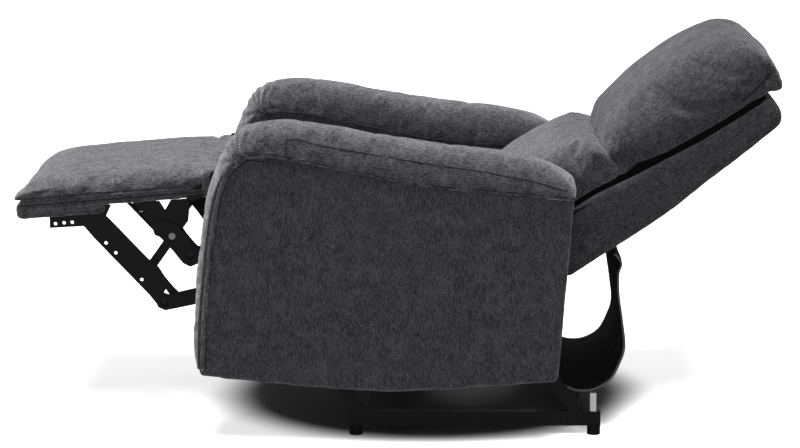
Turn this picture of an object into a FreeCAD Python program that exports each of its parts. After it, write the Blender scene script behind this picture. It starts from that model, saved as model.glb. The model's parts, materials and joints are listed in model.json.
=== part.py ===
"""Push-back recliner armchair: reclined, footrest out.  Millimetres, +Z up, the sitter faces -Y."""
import FreeCAD, Part
import os
from math import atan2, cos, hypot, radians, sin, tan

os.makedirs("parts", exist_ok=True)
doc = FreeCAD.newDocument("recliner")
sheet = doc.addObject("Spreadsheet::Sheet", "sizes")

DRIVING_DIMENSIONS = {
    "frame_shift": -17,
    # widths, measured from the middle of the chair
    "seat_half_width": 250, "arm_width": 120, "arm_gap": 4, "plate_face_gap": 8,
    "cap_overhang": 7, "panel_thickness": 10, "cushion_gap": 1, "arm_window_share": 0.88,
    # pressed steel and pins
    "plate_gauge": 3, "link_gap": 1.5, "link_radius": 14, "pin_radius": 5,
    "pin_clearance": 0.05, "bolt_radius": 8, "pin_end_gap": 0.5,
    # base on the floor
    "foot_height": 20, "foot_radius": 14, "rail_width": 20, "rail_height": 30,
    "rail_front": -105, "rail_length": 530, "cross_tube_depth": 28, "cross_tube_inset": 12,
    "post_depth": 13, "post_height": 40, "post_width": 14, "post_setback": 9,
    # swing links
    "swing_base_y": -80, "swing_base_z": 62, "swing_length": 172, "swing_lean": 38.9,
    "swing_spacing": 450,
    # footrest linkage pivots
    "bell_y": -312, "bell_z": 468, "knee_y": -490, "knee_z": 286,
    "lever_y": -433, "lever_z": 386,
    "heel_y": -500, "heel_z": 447, "torque_tube_radius": 9, "torque_tube_wall": 2.5,
    "tube_y": -400, "tube_z": 310, "stay_y": -511, "stay_z": 370, "stay_end_y": -471, "stay_end_z": 426,
    "stay_radius": 10,
    "punched_hole": 3.5, "cap_radius": 7, "cap_height": 1,
    # footrest
    "footrest_hinge_y": -372, "footrest_hinge_z": 549, "footrest_tilt": 4.7,
    "footrest_front": -798, "footrest_rear": -396, "board_thickness": 15,
    "pad_thickness": 47, "strip_depth": 190, "strip_thickness": 17,
    # seat
    "cushion_front": -325, "cushion_rear": 128, "cushion_bottom": 486, "cushion_front_top": 556,
    "cushion_rear_top": 504, "rail_section_width": 23, "rail_section_height": 36,
    "seat_rail_inset": 22, "spring_radius": 2, "spring_count": 6,
    "seat_rail_front": -300, "seat_rail_rear": 122, "deck_thickness": 5,
    # back
    "back_hinge_y": 270, "back_hinge_z": 430, "back_angle": 36.7,
    "shell_rear": 128, "shell_length": 575, "shell_start": 8, "shell_wall": 12,
    "pillow_end": 650,
    # rear flap
    "flap_thickness": 3, "flap_side_gap": 6,
}
for row, (alias, value) in enumerate(DRIVING_DIMENSIONS.items(), start=1):
    sheet.set(f"A{row}", alias)
    sheet.set(f"B{row}", str(value))
    sheet.setAlias(f"B{row}", alias)
doc.recompute()

SIDES = {"left": 1, "right": -1}
sub_parts = []


def dim(alias):
    """The driving dimension with this name."""
    return float(sheet.get(alias))


def cell(alias):
    """The same dimension, as it is written in an expression."""
    return f"sizes.{alias}"


# ---------------------------------------------------------------- outlines in the Y-Z plane
def corner(before, point, after, radius):
    """Tangent points and middle of the arc that rounds one corner."""
    to_before = (before[0] - point[0], before[1] - point[1])
    to_after = (after[0] - point[0], after[1] - point[1])
    reach_before = hypot(*to_before)
    reach_after = hypot(*to_after)
    cosine = (to_before[0] * to_after[0] + to_before[1] * to_after[1]) / (reach_before * reach_after)
    half_angle = abs(atan2((1 - cosine * cosine) ** 0.5, cosine)) / 2
    setback = min(radius / tan(half_angle), reach_before / 2, reach_after / 2)
    arc_radius = setback * tan(half_angle)
    start = [point[i] + to_before[i] / reach_before * setback for i in (0, 1)]
    end = [point[i] + to_after[i] / reach_after * setback for i in (0, 1)]
    bisector = [to_before[i] / reach_before + to_after[i] / reach_after for i in (0, 1)]
    length = hypot(*bisector)
    nearest = arc_radius / sin(half_angle) - arc_radius
    middle = [point[i] + bisector[i] / length * nearest for i in (0, 1)]
    return start, middle, end


def rounded(points, radius):
    """Lines and arcs round a closed polygon whose corners have this radius."""
    count = len(points)
    corners = [corner(points[i - 1], points[i], points[(i + 1) % count], radius) for i in range(count)]
    edges = []
    for index, (start, middle, end) in enumerate(corners):
        vectors = [FreeCAD.Vector(y, z, 0) for y, z in (start, middle, end)]
        edges.append(Part.Arc(*vectors))
        following = FreeCAD.Vector(*corners[(index + 1) % count][0], 0)
        if (following - vectors[2]).Length > 1e-6:
            edges.append(Part.LineSegment(vectors[2], following))
    return edges


def polygon(points):
    """Straight edges round a closed polygon."""
    vectors = [FreeCAD.Vector(y, z, 0) for y, z in points]
    return [Part.LineSegment(vectors[i - 1], vectors[i]) for i in range(len(vectors))]


def around(centres, radius):
    """The band that a belt round these pivots would make, for pivots given anticlockwise."""
    grown = []
    count = len(centres)
    for index, centre in enumerate(centres):
        before = centres[index - 1]
        after = centres[(index + 1) % count]
        into = atan2(centre[1] - before[1], centre[0] - before[0])
        out = atan2(after[1] - centre[1], after[0] - centre[0])
        if count == 2:
            for turn in (-1, 1):
                angle = into + turn * radians(45)
                reach = radius * 2 ** 0.5
                grown.append((centre[0] + reach * cos(angle), centre[1] + reach * sin(angle)))
            continue
        normals = [(sin(angle), -cos(angle)) for angle in (into, out)]
        mean = (normals[0][0] + normals[1][0], normals[0][1] + normals[1][1])
        square = mean[0] ** 2 + mean[1] ** 2
        grown.append((centre[0] + 2 * radius * mean[0] / square, centre[1] + 2 * radius * mean[1] / square))
    return rounded(grown, radius)


def hole(centre, radius):
    """A round hole in an outline."""
    return Part.Circle(FreeCAD.Vector(*centre, 0), FreeCAD.Vector(0, 0, 1), radius)


# ---------------------------------------------------------------- ways to make a solid
def keep(feature, label):
    """Name a finished sub-part, shift it so that the chair's middle is the origin, and list it."""
    feature.Label = label
    along = "0 mm"
    for path, expression in feature.ExpressionEngine:
        if path.endswith("Placement.Base.y"):
            along = expression
    feature.setExpression("Placement.Base.y", f"{along} + {cell('frame_shift')} * 1 mm")
    sub_parts.append(feature)
    return feature


def prism(label, edges, low, width, side=1):
    """A Body padded along X from the sketch of its side view; low and width are expressions."""
    body = doc.addObject("PartDesign::Body", label)
    sketch = body.newObject("Sketcher::SketchObject", f"{label}_outline")
    plane = [plane for plane in body.Origin.OriginFeatures if plane.Role == "YZ_Plane"][0]
    sketch.AttachmentSupport = [(plane, "")]
    sketch.MapMode = "FlatFace"
    for edge in edges:
        sketch.addGeometry(edge, False)
    start = low if side > 0 else f"-({low}) - ({width})"
    sketch.setExpression("AttachmentOffset.Base.z", f"({start}) * 1 mm")
    pad = body.newObject("PartDesign::Pad", f"{label}_pad")
    pad.Profile = sketch
    pad.setExpression("Length", f"({width}) * 1 mm")
    body.Tip = pad
    return body


def centred(label, edges, half_width):
    """A prism that runs the same distance to both sides of the middle."""
    return prism(label, edges, f"-({half_width})", f"2 * ({half_width})")


def rod(name, centre, low, length, radius, side=1):
    """A cylinder along X; low, length and radius are expressions."""
    cylinder = doc.addObject("Part::Cylinder", name)
    cylinder.setExpression("Radius", f"({radius}) * 1 mm")
    cylinder.setExpression("Height", f"({length}) * 1 mm")
    cylinder.Placement = FreeCAD.Placement(
        FreeCAD.Vector(0, *centre), FreeCAD.Rotation(FreeCAD.Vector(0, 1, 0), 90))
    start = low if side > 0 else f"-({low}) - ({length})"
    cylinder.setExpression("Placement.Base.x", f"({start}) * 1 mm")
    return cylinder


def block(name, low, size):
    """A box; the three lows and the three sizes are expressions."""
    box = doc.addObject("Part::Box", name)
    for axis, value in zip("xyz", low):
        box.setExpression(f"Placement.Base.{axis}", f"({value}) * 1 mm")
    for property_name, value in zip(("Length", "Width", "Height"), size):
        box.setExpression(property_name, f"({value}) * 1 mm")
    return box


def group(label, features):
    """Several equal pieces in one node."""
    compound = doc.addObject("Part::Compound", label)
    compound.Links = features
    return keep(compound, label)


# ---------------------------------------------------------------- places that pieces share
PLATE_FACE = f"({cell('seat_half_width')} + {cell('plate_face_gap')})"
GAUGE = cell("plate_gauge")
HOLE_RADIUS = dim("pin_radius") + dim("pin_clearance")
SWING_RADIUS = dim("link_radius")


def layer(index):
    """Inner face of one layer of steel: layer 0 runs next to the side plate."""
    return f"({PLATE_FACE} - {index + 1} * ({GAUGE} + {cell('link_gap')}))"


def pivot(name):
    """A pivot's place in the side view."""
    return (dim(f"{name}_y"), dim(f"{name}_z"))


def back_point(along, out):
    """A point given along the back from its hinge, and out towards the sitter."""
    angle = radians(dim("back_angle"))
    return (dim("back_hinge_y") + along * cos(angle) - out * sin(angle),
            dim("back_hinge_z") + along * sin(angle) + out * cos(angle))


def footrest_point(y, above):
    """A point above the underside of the footrest board."""
    slope = tan(radians(dim("footrest_tilt")))
    underside = dim("footrest_hinge_z") - 40 + (y - dim("footrest_rear")) * slope
    return (y - above * slope, underside + above)


front_low = pivot("swing_base")
rear_low = (front_low[0] + dim("swing_spacing"), front_low[1])
lean = radians(dim("swing_lean"))
swing_step = (-dim("swing_length") * sin(lean), dim("swing_length") * cos(lean))
front_high = (front_low[0] + swing_step[0], front_low[1] + swing_step[1])
rear_high = (rear_low[0] + swing_step[0], rear_low[1] + swing_step[1])
bell = pivot("bell")
knee = pivot("knee")
lever = pivot("lever")
heel = pivot("heel")
footrest_hinge = pivot("footrest_hinge")
back_hinge = pivot("back_hinge")


def pins(label, places, low, length):
    """Pins on both sides at each of these places."""
    features = []
    for side_name, side in SIDES.items():
        for index, centre in enumerate(places):
            features.append(rod(f"{label}_{side_name}_{index}", centre, low, length,
                                cell("pin_radius"), side))
    return features


# ---------------------------------------------------------------- base
def make_base():
    """Two floor rails on feet, two cross tubes, pivot brackets, rear posts and pins."""
    rail_outer = layer(1)
    rail_inner = f"({rail_outer} - {cell('rail_width')})"
    rail_rear = f"({cell('rail_front')} + {cell('rail_length')})"
    feet = []
    posts = []
    brackets = []
    for name, side in SIDES.items():
        low = rail_inner if side > 0 else f"-{rail_outer}"
        keep(block(f"base_rail_{name}", (low, cell("rail_front"), cell("foot_height")),
                   (cell("rail_width"), cell("rail_length"), cell("rail_height"))), f"base_rail_{name}")
        middle = dim("seat_half_width") + dim("plate_face_gap") - dim("rail_width") / 2
        middle -= 2 * (dim("plate_gauge") + dim("link_gap"))
        for end, y in (("front", dim("rail_front") + dim("foot_radius")),
                       ("rear", dim("rail_front") + dim("rail_length") - dim("foot_radius"))):
            foot = doc.addObject("Part::Cylinder", f"foot_{name}_{end}")
            foot.setExpression("Radius", f"{cell('foot_radius')} * 1 mm")
            foot.setExpression("Height", f"{cell('foot_height')} * 1 mm")
            foot.Placement.Base = FreeCAD.Vector(side * middle, y, 0)
            feet.append(foot)
        post_low = f"({rail_inner} + 3)" if side > 0 else f"-({rail_inner} + 3 + {cell('post_width')})"
        posts.append(block(f"post_{name}",
                           (post_low, f"{rail_rear} - {cell('post_setback')} - {cell('post_depth')}",
                            f"{cell('foot_height')} + {cell('rail_height')}"),
                           (cell("post_width"), cell("post_depth"), cell("post_height"))))
        for end, low_pivot in (("front", front_low), ("rear", rear_low)):
            rail_middle = (low_pivot[0], dim("foot_height") + dim("rail_height") / 2)
            outline = around([rail_middle, low_pivot], SWING_RADIUS)
            brackets.append(prism(f"bracket_{name}_{end}", outline, layer(1), GAUGE, side))
    group("base_brackets", brackets)
    group("floor_feet", feet)
    group("rear_posts", posts)
    for end, start in (("front", f"{cell('rail_front')} + {cell('cross_tube_inset')}"),
                       ("rear", f"{rail_rear} - {cell('cross_tube_inset')} - {cell('cross_tube_depth')}")):
        keep(block(f"base_{end}_tube", (f"-{rail_inner}", start, f"{cell('foot_height')} + 2"),
                   (f"2 * {rail_inner}", cell("cross_tube_depth"), f"{cell('rail_height')} - 4")),
             f"base_{end}_tube")
    start = f"({layer(1)} + {GAUGE})"
    length = f"({PLATE_FACE} - {start} - {cell('pin_end_gap')})"
    group("base_pivot_pins", pins("base_pin", [front_low, rear_low], start, length))


# ---------------------------------------------------------------- swing links
def make_swing_links():
    """Four equal links that carry the seat over the base."""
    for end, low_pivot, high_pivot in (("front", front_low, front_high), ("rear", rear_low, rear_high)):
        links = []
        for name, side in SIDES.items():
            edges = around([low_pivot, high_pivot], SWING_RADIUS)
            edges += [hole(low_pivot, HOLE_RADIUS), hole(high_pivot, HOLE_RADIUS)]
            links.append(prism(f"{end}_swing_link_{name}", edges, layer(0), GAUGE, side))
        group(f"{end}_swing_links", links)


# ---------------------------------------------------------------- seat unit
def make_side_plates():
    """Steel side plates that hold every pivot of the seat unit, and the pins in them."""
    reach = dim("link_radius") + 4
    outline = [
        (front_high[0] - reach, front_high[1] - reach),
        (rear_high[0] + reach, rear_high[1] - reach),
        (back_hinge[0] + reach, back_hinge[1] + reach),
        (back_hinge[0] - reach, back_hinge[1] + reach),
        (back_hinge[0] - 60, back_hinge[1] - 90),
        (bell[0] + 170, bell[1] - 110),
        (bell[0] + reach, bell[1] + reach - 4),
        (footrest_hinge[0] + reach, footrest_hinge[1] + reach),
        (footrest_hinge[0] - reach, footrest_hinge[1] + reach),
        (footrest_hinge[0] - reach, footrest_hinge[1] - reach),
        (bell[0] - reach, bell[1] - reach),
        (front_high[0] - reach, front_high[1] + 60),
    ]
    for name, side in SIDES.items():
        plate = prism(f"side_plate_{name}", rounded(outline, 12), PLATE_FACE, GAUGE, side)
        keep(plate, f"side_plate_{name}")
    near = f"({layer(0)} - {cell('pin_end_gap')})"
    far = f"({layer(2)} - {cell('pin_end_gap')})"
    features = pins("plate_pin", [front_high, rear_high, bell, back_hinge], near, f"({PLATE_FACE} - {near})")
    features += pins("hinge_pin", [footrest_hinge], far, f"({PLATE_FACE} - {far})")
    group("seat_pivot_pins", features)


def make_seat_frame():
    """Wooden seat rails, steel cross members, springs, deck and cushion."""
    rail_outer = f"({cell('seat_half_width')} - {cell('seat_rail_inset')})"
    rail_low = f"({cell('cushion_bottom')} - {cell('deck_thickness')} - {cell('rail_section_height')})"
    section = (cell("rail_section_width"), cell("rail_section_height"))
    inner_front = f"({cell('seat_rail_front')} + {section[0]})"
    inner_rear = f"({cell('seat_rail_rear')} - {section[0]})"
    side_rails = []
    for name, side in SIDES.items():
        low = f"({rail_outer} - {section[0]})" if side > 0 else f"-{rail_outer}"
        side_rails.append(block(f"seat_side_rail_{name}", (low, inner_front, rail_low),
                                (section[0], f"{inner_rear} - {inner_front}", section[1])))
    group("seat_side_rails", side_rails)
    keep(block("seat_front_rail", (f"-{rail_outer}", cell("seat_rail_front"), rail_low),
               (f"2 * {rail_outer}", section[0], section[1])), "seat_front_rail")
    keep(block("seat_rear_rail", (f"-{PLATE_FACE}", inner_rear, f"{rail_low} - 30"),
               (f"2 * {PLATE_FACE}", section[0], f"{section[1]} + 30")), "seat_rear_rail")
    full = f"2 * {PLATE_FACE}"
    members = {
        "seat_middle_tube": (cell("bell_y") + " + 292", f"{rail_low} - 25", "25", "25"),
        "body_front_tube": (str(front_high[0] + 38), str(front_high[1] + 19), "25", "20"),
        "body_rear_tube": (str(rear_high[0] - 22), str(rear_high[1] + 19), "25", "20"),
    }
    tubes = {label: block(label, (f"-{PLATE_FACE}", start, low), (full, depth, height))
             for label, (start, low, depth, height) in members.items()}
    keep(tubes["seat_middle_tube"], "seat_middle_tube")
    group("body_cross_tubes", [tubes["body_front_tube"], tubes["body_rear_tube"]])
    deck_low = f"({cell('cushion_bottom')} - {cell('deck_thickness')})"
    keep(block("seat_deck", (f"-{rail_outer}", cell("seat_rail_front"), deck_low),
               (f"2 * {rail_outer}", f"{cell('seat_rail_rear')} - {cell('seat_rail_front')}",
                cell("deck_thickness"))), "seat_deck")
    springs = []
    count = int(dim("spring_count"))
    free_half = dim("seat_half_width") - dim("seat_rail_inset") - dim("rail_section_width")
    for index in range(count):
        x = free_half * (2 * (index + 0.5) / count - 1)
        wire = doc.addObject("Part::Cylinder", f"seat_spring_{index}")
        wire.setExpression("Radius", f"{cell('spring_radius')} * 1 mm")
        wire.setExpression("Height", f"({inner_rear} - {inner_front}) * 1 mm")
        height = dim("cushion_bottom") - dim("deck_thickness") - 4 * dim("spring_radius")
        start = FreeCAD.Vector(x, dim("seat_rail_front") + dim("rail_section_width"), height)
        wire.Placement = FreeCAD.Placement(start, FreeCAD.Rotation(FreeCAD.Vector(1, 0, 0), -90))
        springs.append(wire)
    group("seat_springs", springs)
    cushion = rounded([
        (dim("cushion_front"), dim("cushion_bottom")), (dim("cushion_rear"), dim("cushion_bottom")),
        (dim("cushion_rear") - 6, dim("cushion_rear_top")),
        (dim("cushion_front") + 40, dim("cushion_front_top")),
        (dim("cushion_front"), dim("cushion_front_top") - 8)], 10)
    keep(centred("seat_cushion", cushion, cell("seat_half_width")), "seat_cushion")


def make_flap_parts():
    """The rail that holds the foot of the rear flap, its hangers, and the flap."""
    rail_centre = (rear_high[0] + 60, rear_high[1] - 80)
    tube_centre = (rear_high[0] - 10, rear_high[1] + 9)
    half = f"({cell('seat_half_width')} - {cell('flap_side_gap')})"
    flap_rail = centred("flap_rail", around([rail_centre, (rail_centre[0] + 10, rail_centre[1])], 7), half)
    keep(flap_rail, "flap_rail")
    hangers = []
    for name, side in SIDES.items():
        hanger = prism(f"hanger_{name}", around([rail_centre, tube_centre], 10), f"({half})", GAUGE, side)
        hangers.append(hanger)
    group("flap_hangers", hangers)
    top = back_point(117, 2 - dim("shell_rear"))
    path = [(rail_centre[0] + 19, rail_centre[1] - 5), (rail_centre[0] + 50, rail_centre[1] - 19),
            (rail_centre[0] + 90, rail_centre[1] - 17), (rail_centre[0] + 124, rail_centre[1] + 8),
            (rail_centre[0] + 142, rail_centre[1] + 40), (rail_centre[0] + 144, rail_centre[1] + 140),
            (rail_centre[0] + 139, rail_centre[1] + 210), top]
    inner = []
    outer = []
    for index, point in enumerate(path):
        before = path[max(index - 1, 0)]
        after = path[min(index + 1, len(path) - 1)]
        angle = atan2(after[1] - before[1], after[0] - before[0])
        half_gauge = dim("flap_thickness") / 2
        inner.append((point[0] - half_gauge * sin(angle), point[1] + half_gauge * cos(angle)))
        outer.append((point[0] + half_gauge * sin(angle), point[1] - half_gauge * cos(angle)))
    keep(centred("rear_flap", polygon(inner + outer[::-1]), half), "rear_flap")


def arm_outline(inset):
    """Side view of the arm below its cap, drawn in by the inset at the front, foot and rear."""
    return [
        (-410 + inset, 158 + inset), (-16, 122 + inset), (330 - inset, 143 + inset),
        (362 - inset, 533), (67, 558), (-135, 599), (-262, 624),
        (-334 + inset, 612 - inset / 2), (-364 + inset, 560), (-390 + inset, 440), (-406 + inset, 280),
    ]


def make_arms():
    """Upholstered arms: frame, inner and outer panels, front cover, cap and bolts."""
    inner_face = f"({PLATE_FACE} + {GAUGE} + {cell('arm_gap')})"
    skin = cell("panel_thickness")
    thickness = dim("panel_thickness")
    top_front = [(-262, 624), (-334, 612), (-364, 560)]
    front = [(-390, 440), (-406, 280), (-410, 158)]
    cover = top_front + front + [(y + thickness, z + thickness) for y, z in front[:0:-1]]
    cover += [(-390 + thickness, 440), (-364 + thickness, 560), (-334 + thickness, 612 - thickness / 2)]
    cover = cover[1:]
    cap = [
        (-334, 612), (-364, 606), (-350, 634), (-317, 661), (-241, 675), (-137, 665), (108, 625), (251, 606),
        (333, 576), (366, 546), (362, 533), (67, 558), (-135, 599), (-262, 624),
    ]
    outline = arm_outline(thickness)
    middle = [sum(point[i] for point in outline) / len(outline) for i in (0, 1)]
    window = [[middle[i] + (point[i] - middle[i]) * dim("arm_window_share") for i in (0, 1)]
              for point in outline]
    bolts = []
    for name, side in SIDES.items():
        full_width = f"({cell('arm_width')})"
        parts = (
            ("arm_inner_panel", rounded(arm_outline(0), 14), inner_face, skin),
            ("arm_outer_panel", rounded(arm_outline(0), 14), f"({inner_face} + {full_width} - {skin})", skin),
            ("arm_frame", rounded(outline, 14) + polygon(window), f"({inner_face} + {skin})",
             f"({full_width} - 2 * {skin})"),
            ("arm_front_cover", polygon(cover), f"({inner_face} + {skin})",
             f"({full_width} - 2 * {skin})"),
            ("arm_cap", polygon(cap), f"({inner_face} - {cell('cap_overhang')})",
             f"({full_width} + 2 * {cell('cap_overhang')})"),
        )
        for label, edges, low, width in parts:
            keep(prism(f"{label}_{name}", edges, low, width, side), f"{label}_{name}")
        start = f"({PLATE_FACE} + {GAUGE})"
        for index, place in enumerate([(-170, 200), (200, 200), (250, 330), (-320, 520)]):
            bolts.append(rod(f"arm_bolt_{name}_{index}", place, start, cell("arm_gap"),
                             cell("bolt_radius"), side))
    group("arm_bolts", bolts)


# ---------------------------------------------------------------- back
def make_back():
    """Reclining back: rear shell, board, rails, springs, cushions and hinge brackets."""
    shell_half = layer(0)
    start = dim("shell_start")
    end = dim("shell_length")
    rear = -dim("shell_rear")
    wall = dim("shell_wall")
    outer = [(start, rear + 8), (end, rear), (end, -62), (406, -49), (165, -7), (start, -7)]
    inner = [(start + wall, rear + wall + 8), (end - wall, rear + wall), (end - wall, 0), (start + wall, 0)]
    casing = centred("shell_outside", polygon([back_point(*p) for p in outer]), shell_half)
    space = centred("shell_inside", polygon([back_point(*p) for p in inner]),
                    f"({shell_half} - {cell('shell_wall')})")
    shell = doc.addObject("Part::Cut", "back_shell")
    shell.Base = casing
    shell.Tool = space
    keep(shell, "back_shell")
    low = rear + wall + 8
    rail_half = f"({shell_half} - {cell('shell_wall')})"
    side_rails = []
    for name, side in SIDES.items():
        outline = [(start + wall, low), (end - wall, low), (end - wall, low + 24), (start + wall, low + 24)]
        rail = prism(f"back_rail_{name}", polygon([back_point(*p) for p in outline]),
                     f"({rail_half} - {cell('rail_section_width')})", cell("rail_section_width"), side)
        side_rails.append(rail)
        bracket = around([back_point(90, -60), back_point(220, -60), back_hinge], SWING_RADIUS)
        bracket.append(hole(back_hinge, HOLE_RADIUS))
        keep(prism(f"back_bracket_{name}", bracket, layer(0), GAUGE, side), f"back_bracket_{name}")
    group("back_side_rails", side_rails)
    cross_rails = []
    for label, along in (("back_bottom_rail", start + wall), ("back_top_rail", end - wall - 24)):
        outline = [(along, low), (along + 24, low), (along + 24, low + 24), (along, low + 24)]
        inner_half = f"({rail_half} - {cell('rail_section_width')})"
        cross_rails.append(centred(label, polygon([back_point(*p) for p in outline]), inner_half))
    group("back_cross_rails", cross_rails)
    springs = []
    for index in range(4):
        along = start + 110 + index * 110
        springs.append(rod(f"back_spring_{index}", back_point(along, low + 20),
                           f"-({rail_half} - {cell('rail_section_width')})",
                           f"2 * ({rail_half} - {cell('rail_section_width')})", cell("spring_radius")))
    group("back_springs", springs)
    lumbar = [(-62, 34), (40, -5), (165, -5), (226, -15), (228, 50), (212, 90), (180, 104), (130, 114),
              (75, 118), (0, 113), (-62, 104)]
    keep(centred("lumbar_cushion", polygon([back_point(*p) for p in lumbar]),
                 f"({cell('seat_half_width')} - {cell('cushion_gap')})"), "lumbar_cushion")
    last = dim("pillow_end")
    pillow = [(232, -16), (406, -47), (end, -60), (end + 7, -95), (last - 28, -95), (last - 5, -40),
              (last, 10), (last - 6, 50), (last - 50, 84), (520, 100), (400, 105), (300, 102), (250, 86),
              (232, 56)]
    keep(centred("head_pillow", polygon([back_point(*p) for p in pillow]),
                 f"({cell('seat_half_width')} - {cell('cushion_gap')})"), "head_pillow")


# ---------------------------------------------------------------- footrest
def make_footrest():
    """Footrest: board, pad, front strip, steel brackets and hinge lugs, and the fabric bridge."""
    half = layer(2)
    front = dim("footrest_front")
    rear = dim("footrest_rear")
    board = dim("board_thickness")
    pad_top = board + dim("pad_thickness")
    board_shape = [footrest_point(front + 10, 0), footrest_point(rear, 0),
                   footrest_point(rear, board), footrest_point(front + 10, board)]
    keep(centred("footrest_board", polygon(board_shape), half), "footrest_board")
    pad_shape = [footrest_point(front + 10, board), footrest_point(rear, board),
                 footrest_point(rear + 4, pad_top), footrest_point(front + 130, pad_top),
                 footrest_point(front + 55, pad_top - 12), footrest_point(front + 14, pad_top - 38)]
    keep(centred("footrest_pad", polygon(pad_shape), half), "footrest_pad")
    strip = dim("strip_thickness")
    strip_shape = [footrest_point(front + 4, -strip + 3), footrest_point(front + dim("strip_depth"), -strip),
                   footrest_point(front + dim("strip_depth"), 0), footrest_point(front + 10, 0),
                   footrest_point(front + 10, board + 8), footrest_point(front + 2, board + 4)]
    strip_half = f"({layer(3)} - {cell('pin_end_gap')})"
    keep(centred("footrest_front_strip", polygon(strip_shape), strip_half), "footrest_front_strip")
    front_plate = [footrest_point(-727, 0), (-727, 443), (-655, 447), (-640, 441), (-626, 447), (-612, 462),
                   footrest_point(-598, 0)]
    rear_plate = [footrest_point(-552, 0), (-513, 446), (-508, 430), (-490, 424), (-456, 434), (-438, 458),
                  (-436, 476), footrest_point(-436, 0), footrest_point(-474, 0), (-486, 482),
                  footrest_point(-498, 0)]
    lugs = []
    for name, side in SIDES.items():
        front_holes = [hole(place, dim("punched_hole")) for place in ((-715, 452), (-697, 454), (-680, 455))]
        plates = [prism(f"front_plate_{name}", polygon(front_plate) + front_holes, layer(3), GAUGE, side),
                  prism(f"rear_plate_{name}", polygon(rear_plate) + [hole((-531, 476), dim("punched_hole"))],
                        layer(3), GAUGE, side)]
        group(f"footrest_bracket_{name}", plates)
        lug = around([footrest_hinge, footrest_point(rear - 30, board / 2)], 13)
        lug.append(hole(footrest_hinge, HOLE_RADIUS))
        lugs.append(prism(f"footrest_lug_{name}", lug, layer(2), GAUGE, side))
    group("footrest_lugs", lugs)
    bridge = [footrest_point(rear + 2, 30), (dim("cushion_front") - 2, 512),
              (dim("cushion_front") - 2, 546), footrest_point(rear + 4, pad_top - 6)]
    bridge_half = f"({half} - {cell('pin_end_gap')} - 2)"
    keep(centred("footrest_bridge", polygon(bridge), bridge_half), "footrest_bridge")


def make_linkage():
    """Bell links on a torque tube, front links with their stays, and toggle links on both sides."""
    tube_centre = pivot("tube")
    stay = pivot("stay")
    stay_end = pivot("stay_end")
    bell_shape = [
        (knee[0] - 15, knee[1] - 8), (knee[0] + 2, knee[1] - 16), (tube_centre[0] + 8, tube_centre[1] - 20),
        (tube_centre[0] + 24, tube_centre[1]), (bell[0] + 15, bell[1] - 8), (bell[0] + 10, bell[1] + 14),
        (bell[0] - 12, bell[1] + 15), (-352, lever[1] + 16), (lever[0] + 3, lever[1] + 16),
        (lever[0] - 15, lever[1]), (lever[0] + 3, lever[1] - 15), (-374, lever[1] - 14),
        (tube_centre[0] - 8, tube_centre[1] + 12), (knee[0] - 2, knee[1] + 16), (knee[0] - 15, knee[1] + 6),
    ]
    front_shape = [
        (-660, 453), (-633, 421), (-522, 302), (-502, 276), (-482, 271), (-460, 274), (-452, 286),
        (-455, 303), (-471, 319), (-488, 340), (-501, 361), (-523, 379), (-606, 468), (-626, 474), (-650, 470),
    ]
    toggle_shape = [
        (-514, 452), (-508, 430), (-491, 423), (-467, 394), (-450, 370), (-434, 362), (-417, 370),
        (-414, 392), (-432, 412), (-436, 424), (-452, 436), (-456, 448), (-476, 458), (-500, 463),
    ]
    gap = [(-491, 306), (-479, 302), (-487, 314)]
    stays = []
    caps = []
    for name, side in SIDES.items():
        bell_edges = rounded(bell_shape, 8) + [hole(bell, HOLE_RADIUS)]
        keep(prism(f"bell_link_{name}", bell_edges, layer(0), GAUGE, side), f"bell_link_{name}")
        front_edges = rounded(front_shape, 6) + [hole(knee, HOLE_RADIUS)] + polygon(gap)
        front_edges += [hole(place, dim("punched_hole")) for place in ((-610, 412), (-590, 391), (-537, 334))]
        keep(prism(f"front_link_{name}", front_edges, layer(2), GAUGE, side), f"front_link_{name}")
        toggle_edges = rounded(toggle_shape, 6) + [hole(lever, HOLE_RADIUS)]
        keep(prism(f"toggle_link_{name}", toggle_edges, layer(1), GAUGE, side), f"toggle_link_{name}")
        stays.append(prism(f"stay_{name}", around([stay, stay_end], dim("stay_radius")), layer(4), GAUGE, side))
        start = f"({layer(4)} + {GAUGE})"
        stays.append(rod(f"stay_spacer_{name}", stay, start, f"({layer(2)} - {start})",
                         cell("pin_radius"), side))
        middle = ((lever[0] + heel[0]) / 2 - 5, (lever[1] + heel[1]) / 2 + 11)
        caps.append(rod(f"toggle_cap_{name}", middle, f"({layer(1)} + {GAUGE})", cell("cap_height"),
                        cell("cap_radius"), side))
    group("front_link_stays", stays)
    group("toggle_link_caps", caps)
    knee_low = f"({layer(2)} - {cell('pin_end_gap')})"
    lever_low = f"({layer(1)} - {cell('pin_end_gap')})"
    features = pins("knee_pin", [knee], knee_low, f"({layer(0)} - {knee_low})")
    features += pins("lever_pin", [lever], lever_low, f"({layer(0)} - {lever_low})")
    group("bell_link_pins", features)
    tube = doc.addObject("Part::Cut", "torque_tube")
    tube.Base = rod("tube_outside", tube_centre, f"-{layer(0)}", f"2 * {layer(0)}",
                    cell("torque_tube_radius"))
    tube.Tool = rod("tube_inside", tube_centre, f"-{layer(0)}", f"2 * {layer(0)}",
                    f"({cell('torque_tube_radius')} - {cell('torque_tube_wall')})")
    keep(tube, "torque_tube")


make_base()
make_swing_links()
make_side_plates()
make_seat_frame()
make_flap_parts()
make_arms()
make_back()
make_footrest()
make_linkage()
doc.recompute()

for item in doc.Objects:
    if "Invalid" in item.State or "Error" in item.State:
        raise RuntimeError(f"{item.Label} failed: {item.State}")
for item in sub_parts:
    if item.Shape.isNull() or not item.Shape.isValid() or item.Shape.Volume <= 0:
        raise RuntimeError(f"{item.Label} has no valid solid")
for item in sub_parts:
    item.Shape.exportStep(f"parts/{item.Label}.step")
    print(item.Label, len(item.Shape.Solids), round(item.Shape.Volume / 1000, 1), "cm3")
print(len(sub_parts), "sub-parts")
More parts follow.
